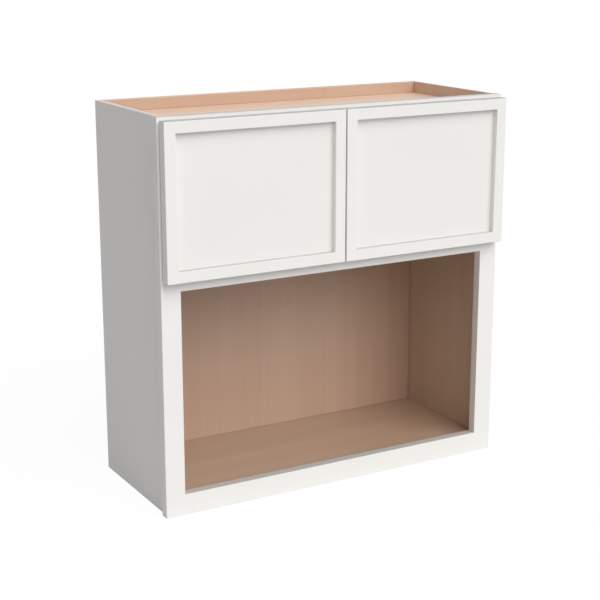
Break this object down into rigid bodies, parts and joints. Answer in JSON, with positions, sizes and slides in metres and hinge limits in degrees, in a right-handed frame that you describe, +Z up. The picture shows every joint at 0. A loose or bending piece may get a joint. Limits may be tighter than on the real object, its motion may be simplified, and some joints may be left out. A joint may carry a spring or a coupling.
{
  "type": "wall cabinet with microwave bay",
  "caption": "Framed wall cabinet with an open microwave bay below a closed compartment behind narrow-bordered hinged doors.",
  "frame": {"origin": "on the wall plane, at the middle of the cabinet's lower edge", "axes": "+X to the cabinet's right as seen from the front, +Y towards the wall, +Z up"},
  "size_m": [0.762, 0.328, 0.762],
  "materials": {
    "painted_wood": "satin off-white paint",
    "maple_veneer": "satin clear lacquer on maple veneer",
    "poplar": "planed, uncoated",
    "nickel_steel": "nickel plated",
    "clear_rubber": "soft, translucent"
  },
  "bodies": {
    "cabinet": {"left_side_panel": "painted_wood", "right_side_panel": "painted_wood", "top_panel": "maple_veneer", "bottom_panel": "maple_veneer", "middle_deck": "maple_veneer", "back_panel": "maple_veneer", "upper_hanging_rail": "poplar", "lower_hanging_rail": "poplar", "left_frame_stile": "painted_wood", "right_frame_stile": "painted_wood", "top_frame_rail": "painted_wood", "middle_frame_rail": "painted_wood", "bottom_frame_rail": "painted_wood", "left_lower_hinge_arm": "nickel_steel", "left_lower_hinge_plate": "nickel_steel", "left_upper_hinge_arm": "nickel_steel", "left_upper_hinge_plate": "nickel_steel", "left_plate_screws": "nickel_steel", "left_arm_screws": "nickel_steel", "right_lower_hinge_arm": "nickel_steel", "right_lower_hinge_plate": "nickel_steel", "right_upper_hinge_arm": "nickel_steel", "right_upper_hinge_plate": "nickel_steel", "right_plate_screws": "nickel_steel", "right_arm_screws": "nickel_steel"},
    "left_door": {"left_door_hinge_stile": "painted_wood", "left_door_meeting_stile": "painted_wood", "left_door_top_rail": "painted_wood", "left_door_bottom_rail": "painted_wood", "left_door_panel": "painted_wood", "left_door_bumpers": "clear_rubber", "left_lower_hinge_cup": "nickel_steel", "left_lower_hinge_pin": "nickel_steel", "left_upper_hinge_cup": "nickel_steel", "left_upper_hinge_pin": "nickel_steel", "left_cup_screws": "nickel_steel"},
    "right_door": {"right_door_hinge_stile": "painted_wood", "right_door_meeting_stile": "painted_wood", "right_door_top_rail": "painted_wood", "right_door_bottom_rail": "painted_wood", "right_door_panel": "painted_wood", "right_door_bumpers": "clear_rubber", "right_lower_hinge_cup": "nickel_steel", "right_lower_hinge_pin": "nickel_steel", "right_upper_hinge_cup": "nickel_steel", "right_upper_hinge_pin": "nickel_steel", "right_cup_screws": "nickel_steel"}
  },
  "joints": [
    {"name": "left_door_swing", "type": "hinge", "parent": "cabinet", "child": "left_door", "pos_m": [-0.3712, -0.3135, 0.60895], "axis": [0, 0, -1], "range_deg": [0, 100]},
    {"name": "right_door_swing", "type": "hinge", "parent": "cabinet", "child": "right_door", "pos_m": [0.3712, -0.3135, 0.60895], "axis": [0, 0, 1], "range_deg": [0, 100]}
  ]
}
